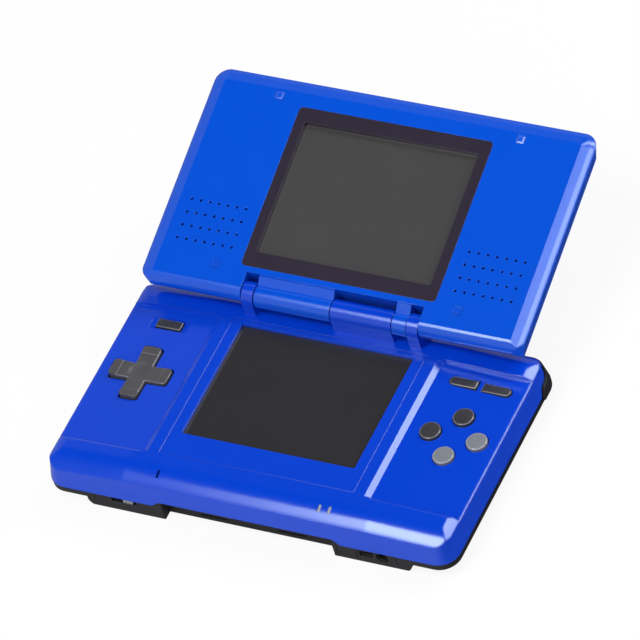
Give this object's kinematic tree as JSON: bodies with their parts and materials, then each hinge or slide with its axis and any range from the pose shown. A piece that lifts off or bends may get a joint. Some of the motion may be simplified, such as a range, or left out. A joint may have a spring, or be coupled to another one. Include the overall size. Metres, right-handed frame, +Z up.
{
  "type": "clamshell handheld game console",
  "caption": "Two-screen clamshell handheld game console with hinged lid, cross pad, sprung keys, shoulder buttons, card slots and a stylus.",
  "frame": {"origin": "centre of the flat underside of the base", "axes": "+X to the player's right, +Y to the rear towards the hinge, +Z up; the lid stands open at rest, 15.6 degrees above the horizontal"},
  "size_m": [0.1494, 0.1513, 0.0467],
  "materials": {
    "blue_shell": "satin moulded plastic in a deep blue",
    "black_shell": "matt moulded plastic",
    "dark_keys": "fine matt moulded plastic",
    "grey_keys": "fine matt moulded plastic",
    "screen_frame": "dark gloss lens plastic",
    "screen_glass": "unlit grey screen behind clear plastic",
    "bright_steel": "plated steel",
    "circuit_board": "coated fibreglass board",
    "silicone": "soft silicone",
    "battery_pack": "printed-free moulded battery pack",
    "light_guides": "clear grey light guide"
  },
  "bodies": {
    "base": {"base_top_cover": "blue_shell", "base_bottom_cover": "black_shell", "touch_panel": "screen_glass", "lower_lcd": "screen_glass", "main_board": "circuit_board", "card_slot_housing": "bright_steel", "cartridge_connector": "dark_keys", "battery": "battery_pack", "battery_cover": "black_shell", "battery_cover_screw": "bright_steel", "case_screws": "bright_steel", "button_membrane": "silicone", "volume_control": "dark_keys", "headphone_jack": "black_shell", "aux_port": "black_shell", "charge_port": "bright_steel", "microphone": "bright_steel", "indicator_lenses": "light_guides", "hinge_bush": "bright_steel", "hinge_clutch": "bright_steel"},
    "lid": {"lid_inner_cover": "blue_shell", "lid_outer_cover": "blue_shell", "screen_frame": "screen_frame", "upper_lcd": "screen_glass", "left_speaker": "dark_keys", "right_speaker": "dark_keys", "lid_screws": "bright_steel", "lid_screw_covers": "blue_shell", "lid_bumpers": "blue_shell", "hinge_shaft": "bright_steel"},
    "d_pad_seat": {"d_pad_membrane": "silicone"},
    "d_pad": {"d_pad": "dark_keys"},
    "button_a": {"button_a": "grey_keys"},
    "button_b": {"button_b": "grey_keys"},
    "button_x": {"button_x": "dark_keys"},
    "button_y": {"button_y": "dark_keys"},
    "select_key": {"select_key": "dark_keys"},
    "start_key": {"start_key": "dark_keys"},
    "power_key": {"power_key": "dark_keys"},
    "left_shoulder_button": {"left_shoulder_button": "black_shell"},
    "right_shoulder_button": {"right_shoulder_button": "black_shell"},
    "volume_knob": {"volume_knob": "grey_keys"},
    "stylus": {"stylus": "black_shell"},
    "cartridge_slot_cover": {"cartridge_slot_cover": "black_shell"}
  },
  "joints": [
    {"name": "lid_hinge", "type": "hinge", "parent": "base", "child": "lid", "pos_m": [0, 0.03695, 0.0225], "axis": [1, 0, 0], "range_deg": [-14, 164.4]},
    {"name": "d_pad_tilt_front_back", "type": "hinge", "parent": "base", "child": "d_pad_seat", "pos_m": [-0.057, 0.0022, 0.0113], "axis": [1, 0, 0], "range_deg": [-3, 3], "stiffness_Nm_per_rad": 0.12},
    {"name": "d_pad_tilt_left_right", "type": "hinge", "parent": "d_pad_seat", "child": "d_pad", "pos_m": [-0.057, 0.0022, 0.0113], "axis": [0, 1, 0], "range_deg": [-3, 3], "stiffness_Nm_per_rad": 0.12},
    {"name": "button_a_press", "type": "slide", "parent": "base", "child": "button_a", "axis": [0, 0, -1], "range_m": [0, 0.0007], "stiffness_N_per_m": 900, "springref_m": -0.0004},
    {"name": "button_b_press", "type": "slide", "parent": "base", "child": "button_b", "axis": [0, 0, -1], "range_m": [0, 0.0007], "stiffness_N_per_m": 900, "springref_m": -0.0004},
    {"name": "button_x_press", "type": "slide", "parent": "base", "child": "button_x", "axis": [0, 0, -1], "range_m": [0, 0.0007], "stiffness_N_per_m": 900, "springref_m": -0.0004},
    {"name": "button_y_press", "type": "slide", "parent": "base", "child": "button_y", "axis": [0, 0, -1], "range_m": [0, 0.0007], "stiffness_N_per_m": 900, "springref_m": -0.0004},
    {"name": "select_key_press", "type": "slide", "parent": "base", "child": "select_key", "axis": [0, 0, -1], "range_m": [0, 0.0005], "stiffness_N_per_m": 900, "springref_m": -0.0004},
    {"name": "start_key_press", "type": "slide", "parent": "base", "child": "start_key", "axis": [0, 0, -1], "range_m": [0, 0.0005], "stiffness_N_per_m": 900, "springref_m": -0.0004},
    {"name": "power_key_press", "type": "slide", "parent": "base", "child": "power_key", "axis": [0, 0, -1], "range_m": [0, 0.0005], "stiffness_N_per_m": 900, "springref_m": -0.0004},
    {"name": "left_shoulder_press", "type": "hinge", "parent": "base", "child": "left_shoulder_button", "pos_m": [-0.0546, 0.0386, 0.008], "axis": [0, 0, 1], "range_deg": [0, 1.5], "stiffness_Nm_per_rad": 0.3, "springref_deg": -2.29},
    {"name": "right_shoulder_press", "type": "hinge", "parent": "base", "child": "right_shoulder_button", "pos_m": [0.0546, 0.0386, 0.008], "axis": [0, 0, 1], "range_deg": [-1.5, 0], "stiffness_Nm_per_rad": 0.3, "springref_deg": 2.29},
    {"name": "volume_slide", "type": "slide", "parent": "base", "child": "volume_knob", "axis": [1, 0, 0], "range_m": [-0.0039, 0.0013]},
    {"name": "stylus_draw", "type": "slide", "parent": "base", "child": "stylus", "axis": [0, 1, 0], "range_m": [0, 0.072]},
    {"name": "slot_cover_draw", "type": "slide", "parent": "base", "child": "cartridge_slot_cover", "axis": [0, -1, 0], "range_m": [0, 0.034]}
  ]
}
